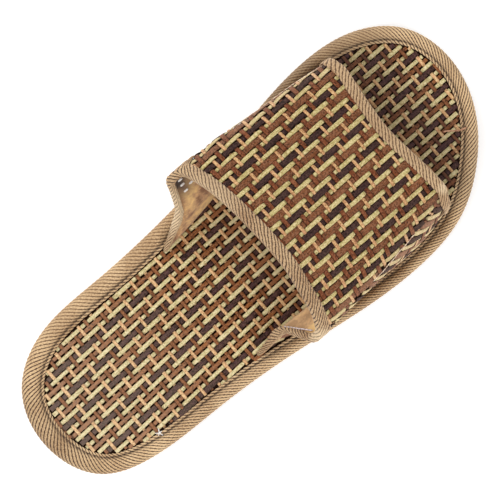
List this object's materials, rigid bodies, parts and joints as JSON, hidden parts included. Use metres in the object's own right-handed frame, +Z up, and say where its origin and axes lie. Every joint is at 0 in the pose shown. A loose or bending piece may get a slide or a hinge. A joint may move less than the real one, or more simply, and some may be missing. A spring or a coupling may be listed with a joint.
{
  "type": "open-toe slipper",
  "caption": "Open-toe house slipper for the right foot: a woven vamp with bound edges on a tape-bound woven insole and a flat foam outsole.",
  "frame": {"origin": "middle of the flat spot on the underside of the outsole, at half the sole's length, on the line from heel to toe", "axes": "+Y from heel to toe, +X to the outer (little-toe) side of this right shoe, +Z up"},
  "size_m": [0.1154, 0.2749, 0.0684],
  "materials": {
    "outsole_foam": "closed-cell foam, matte, fine skin",
    "woven_mat": "flat strips in a two-over-two-under weave, matte",
    "woven_vamp": "flat strips in a two-over-two-under weave, matte",
    "striped_tape": "bias-cut striped twill tape, matte"
  },
  "bodies": {
    "root": {"outsole": "outsole_foam", "insole": "woven_mat", "sole_binding": "striped_tape", "upper": "woven_vamp", "front_binding": "striped_tape", "collar_binding": "striped_tape"}
  },
  "joints": []
}
